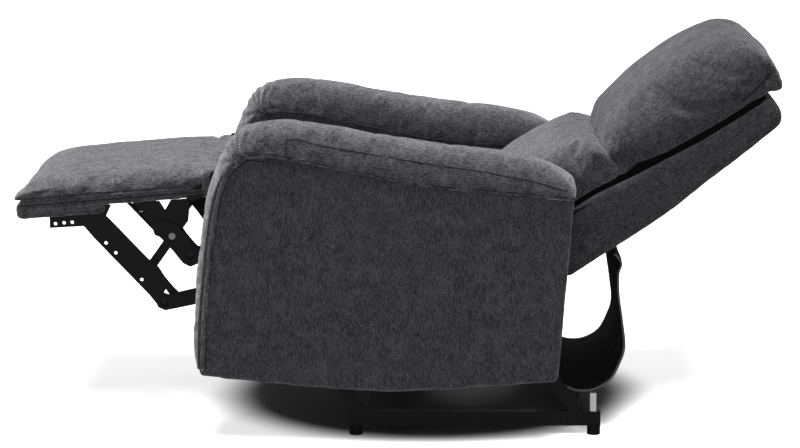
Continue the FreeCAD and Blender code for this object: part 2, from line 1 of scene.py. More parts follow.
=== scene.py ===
# %% [markdown]
# # A push-back recliner, reclined with its footrest out
# The steel, wood and plastic pieces arrive as finished solids, already in place.  The work here is
# everything cloth: arms, cushions, pillow, footrest and flap, and a finish for every surface.
# All lengths are metres; Y runs from the footrest (-Y) to the head (+Y), Z is up.

# %% Load the fixed frame
import json
from math import cos, pi, radians, sin, tan

import bpy
import numpy as np
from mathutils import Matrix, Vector, noise


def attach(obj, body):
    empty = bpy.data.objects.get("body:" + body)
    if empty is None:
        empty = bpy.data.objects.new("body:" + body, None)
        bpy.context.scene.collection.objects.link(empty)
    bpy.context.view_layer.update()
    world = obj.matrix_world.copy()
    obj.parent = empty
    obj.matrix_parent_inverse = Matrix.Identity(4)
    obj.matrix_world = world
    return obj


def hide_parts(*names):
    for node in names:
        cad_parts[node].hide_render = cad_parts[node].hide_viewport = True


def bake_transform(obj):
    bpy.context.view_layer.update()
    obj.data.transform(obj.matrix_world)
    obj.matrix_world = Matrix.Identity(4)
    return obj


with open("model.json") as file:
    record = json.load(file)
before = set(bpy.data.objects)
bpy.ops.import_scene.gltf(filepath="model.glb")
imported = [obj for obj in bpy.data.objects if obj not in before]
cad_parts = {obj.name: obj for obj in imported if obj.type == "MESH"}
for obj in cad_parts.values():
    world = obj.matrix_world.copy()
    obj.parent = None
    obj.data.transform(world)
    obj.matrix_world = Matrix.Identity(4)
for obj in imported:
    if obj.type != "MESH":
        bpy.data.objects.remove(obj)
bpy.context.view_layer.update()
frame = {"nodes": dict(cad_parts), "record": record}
nodes = frame["nodes"]

# %% [markdown]
# Outlines are drawn in the side view in millimetres, from the same zero as the maker's drawing.
# That zero lies 17 mm behind the middle of the whole chair, so one helper moves it and turns
# millimetres into metres.  Two more helpers measure along the leaning back and above the
# sloping footrest, where the cushions are easiest to draw.

# %% Places in the side view
DRAWING_ZERO = -17.0
BACK_HINGE = (270.0, 430.0)
BACK_ANGLE = radians(36.7)
FOOTREST_REAR = (-396.0, 509.0)
FOOTREST_SLOPE = tan(radians(4.7))


def side(y, z):
    """A point of the side drawing, in metres."""
    return ((y + DRAWING_ZERO) / 1000, z / 1000)


def on_back(along, out):
    """A point along the back from its hinge, and out towards the sitter."""
    return side(BACK_HINGE[0] + along * cos(BACK_ANGLE) - out * sin(BACK_ANGLE),
                BACK_HINGE[1] + along * sin(BACK_ANGLE) + out * cos(BACK_ANGLE))


def on_footrest(y, above):
    """A point above the underside of the footrest board."""
    underside = FOOTREST_REAR[1] + (y - FOOTREST_REAR[0]) * FOOTREST_SLOPE
    return side(y - above * FOOTREST_SLOPE, underside + above)


def smooth(points, steps=4, closed=False):
    """More points on a smooth line through these."""
    count = len(points)
    spans = count if closed else count - 1
    line = []
    for index in range(spans):
        if closed:
            four = [points[(index + k) % count] for k in (-1, 0, 1, 2)]
        else:
            four = [points[min(max(index + k, 0), count - 1)] for k in (-1, 0, 1, 2)]
        a, b, c, d = [np.array(point, float) for point in four]
        for step in range(steps):
            t = step / steps
            line.append(tuple(0.5 * (2 * b + (c - a) * t + (2 * a - 5 * b + 4 * c - d) * t ** 2
                                     + (3 * b - a - 3 * c + d) * t ** 3)))
    if not closed:
        line.append(tuple(points[-1]))
    return line


print("back hinge at", side(*BACK_HINGE))

# %% [markdown]
# ## Camera, light and floor
# The chair is seen from its side, from a little above, through a long lens, so that the far arm
# shows over the near one.  A broad soft lamp overhead makes the tops pale and the sides dark, and
# a weak one from the side lifts the panels.  A third lamp falls on the floor alone and gives the
# shadow.  To the camera the floor is pale and glows, which pales that cast shadow, and a round
# painted shadow darkens it under the base.

# %% Camera
camera_data = bpy.data.cameras.new("camera")
camera_data.sensor_width = 36.0
camera_data.lens = 128.25
camera_data.shift_x = -0.065
camera_data.clip_end = 200
camera = bpy.data.objects.new("camera", camera_data)
bpy.context.collection.objects.link(camera)
camera.location = (6.085, 0.0948, 1.5375)
camera.rotation_euler = (radians(90 - 10.53), 0, radians(90))
bpy.context.scene.camera = camera
bpy.context.scene.view_settings.view_transform = "Standard"
print("lens", round(camera_data.lens, 1), "mm")

# %% Lamps, sky and floor
SKY_STRENGTH = 0.36
# To the camera the floor glows outside a round painted shadow under the base: the glow pales the cast shadows
# there, and the painted shadow darkens the floor under the base.
FLOOR_GLOW_PALING_SHADOWS = 0.68
PAINTED_SHADOW_SHIFT = (0.338, -0.125, 0)
PAINTED_SHADOW_SCALE = (2.6, 2.5, 0)
PAINTED_SHADOW_FADE = (0.95, 1.30)
PAINTED_SHADOW_TONE = (0.10, 0.10, 0.10, 1)
FLOOR_TONE = (0.82, 0.82, 0.82, 1)
FLOOR_TONE_TO_LIGHT = (0.22, 0.22, 0.22, 1)


def add_sun(name, strength, spread, tilt):
    """A soft sun whose light comes from the direction that the tilt gives, in degrees."""
    lamp_data = bpy.data.lights.new(name, "SUN")
    lamp_data.energy = strength
    lamp_data.angle = radians(spread)
    lamp = bpy.data.objects.new(name, lamp_data)
    lamp.rotation_euler = [radians(angle) for angle in tilt]
    bpy.context.collection.objects.link(lamp)
    return lamp


overhead_lamp = add_sun("overhead_lamp", 5.6, 40, (8, -4, 0))
side_lamp = add_sun("side_lamp", 0.92, 24, (0, 82, -4))
floor_lamp = add_sun("floor_lamp", 5.2, 22, (0, 33, 0))

world = bpy.data.worlds.new("sky")
bpy.context.scene.world = world
world.use_nodes = True
sky = world.node_tree
background = sky.nodes["Background"]
rays = sky.nodes.new("ShaderNodeLightPath")
seen = sky.nodes.new("ShaderNodeMath")
seen.operation = "MAXIMUM"
sky.links.new(rays.outputs["Is Camera Ray"], seen.inputs[0])
sky.links.new(rays.outputs["Is Glossy Ray"], seen.inputs[1])
level = sky.nodes.new("ShaderNodeMapRange")
sky.links.new(seen.outputs[0], level.inputs["Value"])
level.inputs["To Min"].default_value = SKY_STRENGTH
level.inputs["To Max"].default_value = 1.0
sky.links.new(level.outputs["Result"], background.inputs["Strength"])
background.inputs["Color"].default_value = (1, 1, 1, 1)

bpy.ops.object.select_all(action="DESELECT")
bpy.ops.mesh.primitive_plane_add(size=160, location=(0, 0, 0))
floor = bpy.context.active_object
floor.name = "floor"
floor_finish = bpy.data.materials.new("pale_floor")
floor_finish.use_nodes = True
tree = floor_finish.node_tree
paint = tree.nodes["Principled BSDF"]
paint.inputs["Roughness"].default_value = 0.9
paint.inputs["Specular IOR Level"].default_value = 0.1
rays = tree.nodes.new("ShaderNodeLightPath")
# The round painted shadow under the base: dark to the camera there, fading out away from the base.
place = tree.nodes.new("ShaderNodeTexCoord")
painted_shadow_zone = tree.nodes.new("ShaderNodeMapping")
painted_shadow_zone.inputs["Location"].default_value = PAINTED_SHADOW_SHIFT
painted_shadow_zone.inputs["Scale"].default_value = PAINTED_SHADOW_SCALE
tree.links.new(place.outputs["Object"], painted_shadow_zone.inputs["Vector"])
distance = tree.nodes.new("ShaderNodeVectorMath")
distance.operation = "LENGTH"
tree.links.new(painted_shadow_zone.outputs[0], distance.inputs[0])
away = tree.nodes.new("ShaderNodeMapRange")
away.interpolation_type = "SMOOTHSTEP"
away.inputs["From Min"].default_value = PAINTED_SHADOW_FADE[0]
away.inputs["From Max"].default_value = PAINTED_SHADOW_FADE[1]
tree.links.new(distance.outputs["Value"], away.inputs["Value"])
camera_tone_with_painted_shadow = tree.nodes.new("ShaderNodeMix")
camera_tone_with_painted_shadow.data_type = "RGBA"
camera_tone_with_painted_shadow.inputs["A"].default_value = PAINTED_SHADOW_TONE
camera_tone_with_painted_shadow.inputs["B"].default_value = FLOOR_TONE
tree.links.new(away.outputs["Result"], camera_tone_with_painted_shadow.inputs["Factor"])
tone = tree.nodes.new("ShaderNodeMix")
tone.data_type = "RGBA"
tone.inputs["A"].default_value = FLOOR_TONE_TO_LIGHT
tree.links.new(camera_tone_with_painted_shadow.outputs["Result"], tone.inputs["B"])
tree.links.new(rays.outputs["Is Camera Ray"], tone.inputs["Factor"])
tree.links.new(tone.outputs["Result"], paint.inputs["Base Color"])
# Outside the painted shadow the floor glows to the camera, which pales the cast shadows on it.
paint.inputs["Emission Color"].default_value = (1, 1, 1, 1)
lift = tree.nodes.new("ShaderNodeMath")
lift.operation = "MULTIPLY"
tree.links.new(rays.outputs["Is Camera Ray"], lift.inputs[0])
tree.links.new(away.outputs["Result"], lift.inputs[1])
glow = tree.nodes.new("ShaderNodeMath")
glow.operation = "MULTIPLY"
glow.inputs[1].default_value = FLOOR_GLOW_PALING_SHADOWS
tree.links.new(lift.outputs[0], glow.inputs[0])
tree.links.new(glow.outputs[0], paint.inputs["Emission Strength"])
floor.data.materials.append(floor_finish)
floor_only = bpy.data.collections.new("floor_only")
floor_only.objects.link(floor)
all_but_floor = bpy.data.collections.new("all_but_floor")
all_but_floor.objects.link(floor)
all_but_floor.collection_objects[0].light_linking.link_state = "EXCLUDE"
floor_lamp.light_linking.receiver_collection = floor_only
overhead_lamp.light_linking.receiver_collection = all_but_floor
side_lamp.light_linking.receiver_collection = all_but_floor
print("floor and sky ready")

# %% [markdown]
# ## Finishes
# The cover is a charcoal melange: dark and light yarns woven together, so it is mottled along the
# thread and has a fine raised weave.  One group makes the mottling and the weave height, and each
# fabric places it with its own thread direction and colours.  A second group gives coated and
# plated metal its fine orange-peel.

# %% A small helper that wires nodes
def put(tree, kind, settings=None, **values):
    """A new node with settings on it, and values or links for its inputs."""
    made = tree.nodes.new(kind)
    for name, value in (settings or {}).items():
        setattr(made, name, value)
    for name, value in values.items():
        socket = made.inputs[int(name[1:])] if name[0] == "_" else made.inputs[name.replace("_", " ")]
        if isinstance(value, bpy.types.NodeSocket):
            tree.links.new(value, socket)
        else:
            socket.default_value = value
    return made


def new_group(name, inputs, outputs):
    """An empty shader node group with these sockets: (tree, input node, output node)."""
    group = bpy.data.node_groups.new(name, "ShaderNodeTree")
    for label, kind, value in inputs:
        socket = group.interface.new_socket(label, in_out="INPUT", socket_type=kind)
        if value is not None:
            socket.default_value = value
    for label, kind in outputs:
        group.interface.new_socket(label, in_out="OUTPUT", socket_type=kind)
    return group, group.nodes.new("NodeGroupInput"), group.nodes.new("NodeGroupOutput")


# %% Melange weave group
def build_weave_group():
    """Mottled yarn colour and woven height on a vector in metres whose Z runs along the thread."""
    group, given, out = new_group(
        "melange_weave",
        [("Vector", "NodeSocketVector", None), ("Contrast", "NodeSocketFloat", 1.0)],
        [("Yarn", "NodeSocketFloat"), ("Height", "NodeSocketFloat")])
    vector = given.outputs["Vector"]
    long_yarn = put(group, "ShaderNodeMapping", Vector=vector, Scale=(500, 500, 105))
    streak = put(group, "ShaderNodeTexNoise", Vector=long_yarn.outputs[0], Scale=1.0, Detail=2.0,
                 Roughness=0.6)
    cross_yarn = put(group, "ShaderNodeMapping", Vector=vector, Scale=(175, 175, 600))
    fleck = put(group, "ShaderNodeTexNoise", Vector=cross_yarn.outputs[0], Scale=1.0, Detail=2.0,
                Roughness=0.6)
    cloud = put(group, "ShaderNodeTexNoise", Vector=vector, Scale=38.0, Detail=3.0, Roughness=0.6)
    both = put(group, "ShaderNodeMath", {"operation": "MULTIPLY_ADD"},
               _0=fleck.outputs["Fac"], _1=0.55, _2=0.0)
    yarns = put(group, "ShaderNodeMath", {"operation": "ADD"}, _0=streak.outputs["Fac"], _1=both.outputs[0])
    soft = put(group, "ShaderNodeMath", {"operation": "MULTIPLY"}, _0=cloud.outputs["Fac"], _1=0.35)
    total = put(group, "ShaderNodeMath", {"operation": "ADD"}, _0=yarns.outputs[0], _1=soft.outputs[0])
    centred = put(group, "ShaderNodeMath", {"operation": "SUBTRACT"}, _0=total.outputs[0], _1=0.95)
    spread = put(group, "ShaderNodeMath", {"operation": "MULTIPLY"}, _0=centred.outputs[0],
                 _1=given.outputs["Contrast"])
    yarn = put(group, "ShaderNodeMath", {"operation": "ADD", "use_clamp": True}, _0=spread.outputs[0], _1=0.5)
    warp = put(group, "ShaderNodeTexWave", {"bands_direction": "DIAGONAL"}, Vector=vector, Scale=260.0,
               Distortion=2.0, Detail=1.0)
    weft = put(group, "ShaderNodeTexWave", {"bands_direction": "Z"}, Vector=vector, Scale=330.0,
               Distortion=2.0, Detail=1.0)
    weave = put(group, "ShaderNodeMath", {"operation": "MULTIPLY"}, _0=warp.outputs["Fac"],
                _1=weft.outputs["Fac"])
    height = put(group, "ShaderNodeMath", {"operation": "ADD"}, _0=weave.outputs[0], _1=total.outputs[0])
    group.links.new(yarn.outputs[0], out.inputs["Yarn"])
    group.links.new(height.outputs[0], out.inputs["Height"])
    return group


weave_group = build_weave_group()
print("group:", weave_group.name)


# %% Fabric materials
def place_group(tree, group):
    """A group node in a material."""
    placed = tree.nodes.new("ShaderNodeGroup")
    placed.node_tree = group
    return placed


def make_fabric(name, dark, light, thread_turn=(0, 0, 0), contrast=2.7, roughness=0.9, sheen=0.50,
                shine=0.25):
    """Woven cloth whose thread runs along Z before the turn, in degrees."""
    material = bpy.data.materials.new(name)
    material.use_nodes = True
    tree = material.node_tree
    cloth = tree.nodes["Principled BSDF"]
    where = put(tree, "ShaderNodeTexCoord")
    turned = put(tree, "ShaderNodeMapping", Vector=where.outputs["Object"],
                 Rotation=[radians(angle) for angle in thread_turn])
    woven = place_group(tree, weave_group)
    woven.inputs["Contrast"].default_value = contrast
    tree.links.new(turned.outputs[0], woven.inputs["Vector"])
    colour = put(tree, "ShaderNodeMix", {"data_type": "RGBA"}, Factor=woven.outputs["Yarn"])
    colour.inputs["A"].default_value = (*dark, 1)
    colour.inputs["B"].default_value = (*light, 1)
    relief = put(tree, "ShaderNodeBump", Height=woven.outputs["Height"], Strength=0.8, Distance=0.0007)
    tree.links.new(colour.outputs["Result"], cloth.inputs["Base Color"])
    tree.links.new(relief.outputs["Normal"], cloth.inputs["Normal"])
    cloth.inputs["Roughness"].default_value = roughness
    fuzz = put(tree, "ShaderNodeMapRange", Value=woven.outputs["Yarn"], To_Min=sheen * 0.4,
               To_Max=sheen * 1.6)
    tree.links.new(fuzz.outputs["Result"], cloth.inputs["Sheen Weight"])
    cloth.inputs["Sheen Roughness"].default_value = 0.5
    cloth.inputs["Sheen Tint"].default_value = (0.8, 0.8, 0.85, 1)
    cloth.inputs["Specular IOR Level"].default_value = shine
    return material


# The one charcoal cloth is made in four copies that differ in thread direction and sheen weight. The sheen
# weights are set per piece so that tops and sides render brighter or darker than the lamps alone make them,
# which is painted sheen.
CHARCOAL_DARK = (0.006, 0.006, 0.007)
CHARCOAL_LIGHT = (0.060, 0.059, 0.065)
panel_fabric_painted_sheen = make_fabric("charcoal_melange_upright", CHARCOAL_DARK, CHARCOAL_LIGHT, sheen=0.4)
level_fabric_painted_sheen = make_fabric("charcoal_melange_level", CHARCOAL_DARK, CHARCOAL_LIGHT, thread_turn=(90, 0, 0),
                           sheen=0.70)
back_fabric_painted_sheen = make_fabric("charcoal_melange_back_painted_sheen", CHARCOAL_DARK, CHARCOAL_LIGHT, thread_turn=(53, 0, 0),
                          sheen=0.28)
lumbar_fabric_painted_sheen = make_fabric("charcoal_melange_lumbar", CHARCOAL_DARK, CHARCOAL_LIGHT, thread_turn=(53, 0, 0),
                            sheen=0.55)
seam_fabric = make_fabric("charcoal_seam_thread", (0.003, 0.003, 0.003), (0.010, 0.010, 0.011),
                          contrast=1.0, sheen=0.05)
lining = make_fabric("black_lining", (0.0010, 0.0010, 0.0011), (0.0045, 0.0045, 0.0048), roughness=0.95,
                     sheen=0.01, shine=0.06)
edge_tape = make_fabric("grey_edge_tape", (0.04, 0.04, 0.04), (0.10, 0.10, 0.10), contrast=0.8)


# %% Metal, wood and plastic
def build_coat_group():
    """Fine orange-peel height and a slow mottling for coated metal and plastic."""
    group, given, out = new_group(
        "coat_grain", [("Vector", "NodeSocketVector", None), ("Grain", "NodeSocketFloat", 900.0)],
        [("Mottle", "NodeSocketFloat"), ("Height", "NodeSocketFloat")])
    fine = put(group, "ShaderNodeTexNoise", Vector=given.outputs["Vector"], Scale=given.outputs["Grain"],
               Detail=2.0)
    slow = put(group, "ShaderNodeTexNoise", Vector=given.outputs["Vector"], Scale=22.0, Detail=4.0)
    group.links.new(slow.outputs["Fac"], out.inputs["Mottle"])
    group.links.new(fine.outputs["Fac"], out.inputs["Height"])
    return group


coat_group = build_coat_group()


def make_coated(name, dark, light, roughness, metallic=0.0, shine=0.5, grain=900.0, stretch=(1, 1, 1)):
    """Paint, plating, wood or plastic: two tones, a varying roughness and a fine grain."""
    material = bpy.data.materials.new(name)
    material.use_nodes = True
    tree = material.node_tree
    surface = tree.nodes["Principled BSDF"]
    where = put(tree, "ShaderNodeTexCoord")
    stretched = put(tree, "ShaderNodeMapping", Vector=where.outputs["Object"], Scale=stretch)
    coat = place_group(tree, coat_group)
    coat.inputs["Grain"].default_value = grain
    tree.links.new(stretched.outputs[0], coat.inputs["Vector"])
    colour = put(tree, "ShaderNodeMix", {"data_type": "RGBA"}, Factor=coat.outputs["Mottle"])
    colour.inputs["A"].default_value = (*dark, 1)
    colour.inputs["B"].default_value = (*light, 1)
    rough = put(tree, "ShaderNodeMapRange", Value=coat.outputs["Mottle"], To_Min=roughness - 0.08,
                To_Max=roughness + 0.08)
    relief = put(tree, "ShaderNodeBump", Height=coat.outputs["Height"], Strength=0.25, Distance=0.0003)
    tree.links.new(colour.outputs["Result"], surface.inputs["Base Color"])
    tree.links.new(rough.outputs["Result"], surface.inputs["Roughness"])
    tree.links.new(relief.outputs["Normal"], surface.inputs["Normal"])
    surface.inputs["Metallic"].default_value = metallic
    surface.inputs["Specular IOR Level"].default_value = shine
    return material


black_coat = make_coated("black_powder_coat", (0.002, 0.002, 0.002), (0.006, 0.006, 0.006), 0.45, shine=0.09)
black_plastic = make_coated("black_moulded_plastic", (0.002, 0.002, 0.002), (0.005, 0.005, 0.005), 0.5,
                            shine=0.09)
bright_zinc = make_coated("bright_zinc", (0.42, 0.43, 0.45), (0.62, 0.63, 0.65), 0.3, metallic=1.0,
                          stretch=(1, 1, 0.08), grain=500.0)
spring_wire = make_coated("spring_wire", (0.10, 0.10, 0.11), (0.20, 0.20, 0.21), 0.4, metallic=1.0)
frame_wood = make_coated("frame_wood", (0.30, 0.19, 0.10), (0.50, 0.34, 0.19), 0.7,
                         stretch=(0.6, 0.08, 0.6), grain=300.0)
SLOT_FINISHES = {
    "black_steel": black_coat, "black_fabric": lining, "frame_wood": frame_wood,
    "zinc_steel": bright_zinc, "black_plastic": black_plastic, "spring_steel": spring_wire,
    "upholstery": panel_fabric_painted_sheen,
}
for part in frame["record"]["subparts"]:
    mesh = nodes[part["node"]].data
    mesh.materials.clear()
    mesh.materials.append(SLOT_FINISHES[part["material_slot"]])
print("finishes:", len(bpy.data.materials))

# %% [markdown]
# ## Ways to make a soft piece
# A cushion starts as a disc whose rim is moved onto the side outline, then extruded across the
# chair.  Rebuilt as small even squares it can be crowned, and a short cloth simulation with air
# inside swells it, so that it puckers where its seams are held.  Gathers along a seam are pressed
# in afterwards as small folds that fade with distance.

# %% From outline to solid
def deselect():
    """Nothing selected, in object mode."""
    if bpy.context.mode != "OBJECT":
        bpy.ops.object.mode_set(mode="OBJECT")
    bpy.ops.object.select_all(action="DESELECT")


def activate(piece):
    """Only this piece selected and active."""
    deselect()
    piece.select_set(True)
    bpy.context.view_layer.objects.active = piece


def slab(name, outline, low, high):
    """A solid between two planes across the chair, from its side outline in metres."""
    deselect()
    bpy.ops.mesh.primitive_circle_add(vertices=len(outline), radius=0.1, fill_type="NGON")
    piece = bpy.context.active_object
    piece.name = name
    for vertex, (y, z) in zip(piece.data.vertices, outline):
        vertex.co = (low, y, z)
    bpy.ops.object.mode_set(mode="EDIT")
    bpy.ops.mesh.select_all(action="SELECT")
    bpy.ops.mesh.extrude_region_move(TRANSFORM_OT_translate={"value": (high - low, 0, 0)})
    bpy.ops.mesh.select_all(action="SELECT")
    bpy.ops.mesh.normals_make_consistent(inside=False)
    bpy.ops.object.mode_set(mode="OBJECT")
    return piece


def apply_modifier(piece, kind, **settings):
    """Add one modifier with its settings and apply it."""
    activate(piece)
    modifier = piece.modifiers.new(kind.lower(), kind)
    for name, value in settings.items():
        setattr(modifier, name, value)
    bpy.ops.object.modifier_apply(modifier=modifier.name)


def soften(piece, width, segments=4, angle=35):
    """Round every edge sharper than the angle."""
    apply_modifier(piece, "BEVEL", width=width, segments=segments, limit_method="ANGLE",
                   angle_limit=radians(angle))


def even_mesh(piece, voxel, rounds=3):
    """Rebuild the surface as even small squares, with its steps smoothed away."""
    apply_modifier(piece, "REMESH", mode="VOXEL", voxel_size=voxel, use_smooth_shade=True)
    apply_modifier(piece, "SMOOTH", factor=0.5, iterations=rounds)


def coordinates(mesh):
    """All vertex places of a mesh as an array."""
    flat = np.empty(len(mesh.vertices) * 3)
    mesh.vertices.foreach_get("co", flat)
    return flat.reshape(-1, 3)


def set_coordinates(mesh, places):
    """Move all vertices of a mesh."""
    mesh.vertices.foreach_set("co", places.ravel())
    mesh.update()


def normals(mesh):
    """All vertex normals of a mesh as an array."""
    flat = np.empty(len(mesh.vertices) * 3)
    mesh.vertices.foreach_get("normal", flat)
    return flat.reshape(-1, 3)


RIM_SHARE = 0.12
SWELL_FRAMES = 20


def crown(piece, spine, middle, half_width, power=3.0):
    """Pull the surface towards the spine line near both sides, so that it is domed across."""
    places = coordinates(piece.data)
    line = np.array(spine)
    start, step = line[:-1], line[1:] - line[:-1]
    offset = places[:, None, 1:] - start[None]
    share = np.clip((offset * step).sum(2) / (step ** 2).sum(1), 0, 1)
    nearest = start[None] + share[..., None] * step[None]
    best = ((places[:, None, 1:] - nearest) ** 2).sum(2).argmin(1)
    foot = nearest[np.arange(len(places)), best]
    across = np.clip(np.abs(places[:, 0] - middle) / half_width, 0, 1)
    keep = (1 - across ** power) ** (1 / power)
    places[:, 1:] = foot + (places[:, 1:] - foot) * (RIM_SHARE + (1 - RIM_SHARE) * keep)[:, None]
    set_coordinates(piece.data, places)


# %% Cloth simulation of a stuffed piece
def stuff(piece, held, pressure=4.0, growth=0.02, most=0.022):
    """Swell a closed piece with air, hold some places still, and limit how far a point moves."""
    before = coordinates(piece.data)
    pinned = piece.vertex_groups.new(name="held")
    pinned.add([int(i) for i in np.nonzero(held(before))[0]], 1.0, "REPLACE")
    cloth = piece.modifiers.new("cloth", "CLOTH")
    settings = cloth.settings
    settings.quality = 4
    settings.mass = 0.3
    settings.tension_stiffness = 12
    settings.compression_stiffness = 12
    settings.shear_stiffness = 5
    settings.bending_stiffness = 0.3
    settings.use_pressure = True
    settings.uniform_pressure_force = pressure
    settings.shrink_min = -growth
    settings.vertex_group_mass = "held"
    settings.effector_weights.gravity = 0
    cloth.collision_settings.use_collision = False
    scene = bpy.context.scene
    for step in range(1, SWELL_FRAMES + 1):
        scene.frame_set(step)
    swollen = piece.evaluated_get(bpy.context.evaluated_depsgraph_get())
    moved = coordinates(swollen.data) - before
    piece.modifiers.remove(cloth)
    piece.vertex_groups.clear()
    scene.frame_set(1)
    distance = np.linalg.norm(moved, axis=1)
    limit = most * np.tanh(distance / most) / np.maximum(distance, 1e-9)
    set_coordinates(piece.data, before + moved * limit[:, None])
    print(piece.name, "swelled by up to", round(float(distance.max()) * 1000, 1), "mm")


def gather(piece, distance, along, depth=0.003, reach=0.05, pitch=0.03, seed=0.0):
    """Small folds that run away from a seam: distance from it and place along it are functions."""
    places = coordinates(piece.data)
    outward = normals(piece.data)
    away = np.abs(distance(places))
    where = along(places)
    wander = np.array([noise.noise(Vector((w * 14, a * 9, seed))) for w, a in zip(where, away)])
    strength = np.array([0.5 + 0.5 * noise.noise(Vector((w * 7, seed + 5, 0))) for w in where])
    folds = np.sin(2 * pi * (where / pitch + 0.9 * wander)) * strength * np.exp(-(away / reach) ** 2)
    set_coordinates(piece.data, places + outward * (folds * depth)[:, None])


def pinch(piece, distance, depth=0.006, reach=0.012):
    """Press a seam groove into the surface where the distance function is zero."""
    places = coordinates(piece.data)
    outward = normals(piece.data)
    pressed = np.exp(-(distance(places) / reach) ** 2)
    set_coordinates(piece.data, places - outward * (pressed * depth)[:, None])


def ripple(piece, depth=0.0015, size=0.09, seed=1.0):
    """Slow unevenness of fabric over foam."""
    places = coordinates(piece.data)
    outward = normals(piece.data)
    wave = np.array([noise.noise(Vector(p) / size + Vector((seed, 0, 0))) for p in places])
    set_coordinates(piece.data, places + outward * (wave * depth)[:, None])


def finish_piece(piece, body, slot, material, *replaced, levels=1, fill=None):
    """Smooth shading, a finish, the body that it rides on, and the CAD nodes that it replaces hidden."""
    if levels:
        apply_modifier(piece, "SUBSURF", levels=levels, render_levels=levels)
    activate(piece)
    bpy.ops.object.shade_smooth()
    piece.data.materials.clear()
    piece.data.materials.append(material)
    if body:
        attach(piece, body)
    if replaced:
        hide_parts(*replaced)
    print(piece.name, len(piece.data.polygons), "faces")
    return piece


def tube_along(name, points, radius, body, material, slot="upholstery"):
    """A round cord sewn along a line of (x, y, z) points, as piping or a raised seam."""
    curve = bpy.data.curves.new(name, "CURVE")
    curve.dimensions = "3D"
    curve.bevel_depth = radius
    curve.bevel_resolution = 2
    curve.use_fill_caps = True
    spline = curve.splines.new("POLY")
    spline.points.add(len(points) - 1)
    for knot, place in zip(spline.points, points):
        knot.co = (*place, 1)
    piece = bpy.data.objects.new(name, curve)
    bpy.context.collection.objects.link(piece)
    activate(piece)
    bpy.ops.object.convert(target="MESH")
    piece = bpy.context.active_object
    return finish_piece(piece, body, slot, material, levels=0)


def on_surface(piece, line, sign):
    """Where side-view points land on the outer side of a piece, seen along the width."""
    placed = []
    for y, z in line:
        hit, place = piece.ray_cast((sign * 2.0, y, z), (-sign, 0, 0))[:2]
        if hit:
            placed.append((place.x, place.y, place.z))
    return placed


def rivets(name, places, radius, height, body, material, slot):
    """Low domed rivet heads at (x, y, z) places, their domes facing away from the middle."""
    heads = []
    for x, y, z in places:
        deselect()
        bpy.ops.mesh.primitive_uv_sphere_add(segments=20, ring_count=10, radius=radius, location=(0, 0, 0),
                                             rotation=(0, 0, 0))
        head = bpy.context.active_object
        spots = coordinates(head.data)
        spots[:, 0] *= height / radius
        set_coordinates(head.data, spots + np.array([x, y, z]))
        heads.append(head)
    deselect()
    for head in heads:
        head.select_set(True)
    bpy.context.view_layer.objects.active = heads[0]
    bpy.ops.object.join()
    heads[0].name = name
    return finish_piece(heads[0], body, slot, material, levels=0)


# %% [markdown]
# ## Arms
# Each arm is a flat upholstered box with a padded cap.  The cap is a sausage of foam that rises
# over the front corner and runs down the front edge, so one domed piece is drawn along the whole
# way.  The left arm is shaped once and mirrored for the right.

# %% Arm outlines
ARM_INNER = 0.2655
ARM_OUTER = 0.3850
CAP_MIDDLE = (ARM_INNER + ARM_OUTER) / 2
CAP_HALF = 0.0655

PANEL_FRONT = [(-411, 176), (-409, 257), (-402, 340), (-391, 440), (-379, 515), (-365, 560), (-349, 590),
               (-330, 611), (-305, 625)]
PANEL_TOP = [(-262, 622), (-200, 612), (-135, 598), (-35, 577), (67, 558), (215, 545), (362, 531)]
PANEL_FOOT = [(330, 146), (160, 134), (-16, 125), (-200, 138), (-392, 157), (-405, 163)]
CREST = [(368, 540), (356, 560), (333, 577), (302, 592), (251, 606), (108, 625), (-56, 650), (-137, 664),
         (-213, 675), (-266, 674), (-305, 666), (-332, 648), (-352, 615), (-370, 570), (-387, 505),
         (-399, 430), (-408, 340), (-413, 257), (-416, 176)]
CAP_FOOT = [(-398, 164), (-392, 257), (-385, 340), (-374, 440), (-362, 515), (-348, 560), (-334, 586),
            (-316, 604), (-296, 614), (-262, 615), (-200, 606), (-135, 592), (-35, 571), (67, 552),
            (215, 539), (360, 525)]


def drawn(points, steps=3):
    """A smooth line through side-view points, in metres."""
    return smooth([side(*point) for point in points], steps)


panel_outline = drawn(PANEL_FRONT) + drawn(PANEL_TOP) + drawn(PANEL_FOOT)
cap_outline = drawn(CREST, 4) + drawn(CAP_FOOT, 3)
print("panel points", len(panel_outline), "cap points", len(cap_outline))


# %% Arm body
def mirrored(piece, name):
    """A copy on the other side of the chair, with its own mesh."""
    other = piece.copy()
    other.data = piece.data.copy()
    other.name = name
    bpy.context.collection.objects.link(other)
    places = coordinates(other.data)
    places[:, 0] *= -1
    set_coordinates(other.data, places)
    activate(other)
    bpy.ops.object.mode_set(mode="EDIT")
    bpy.ops.mesh.select_all(action="SELECT")
    bpy.ops.mesh.flip_normals()
    bpy.ops.object.mode_set(mode="OBJECT")
    return other


arm_body = slab("arm_cover_left", panel_outline, ARM_INNER, ARM_OUTER)
soften(arm_body, 0.009, 3, 50)
even_mesh(arm_body, 0.007)


BULGE_MIDDLE = side(-25, 370)
BULGE_REACH = (0.40, 0.26)
BULGE_DEPTH = 0.005


def panel_bulge(piece):
    """Foam under the outer panel: fullest in the middle, flat at its border."""
    places = coordinates(piece.data)
    shape = 1 - np.clip(np.abs(places[:, 1] - BULGE_MIDDLE[0]) / BULGE_REACH[0], 0, 1) ** 3
    shape *= 1 - np.clip(np.abs(places[:, 2] - BULGE_MIDDLE[1]) / BULGE_REACH[1], 0, 1) ** 3
    outer = places[:, 0] > CAP_MIDDLE
    places[:, 0] += np.where(outer, BULGE_DEPTH * shape, 0)
    set_coordinates(piece.data, places)


panel_bulge(arm_body)
ripple(arm_body, 0.0012, 0.12, 3.0)

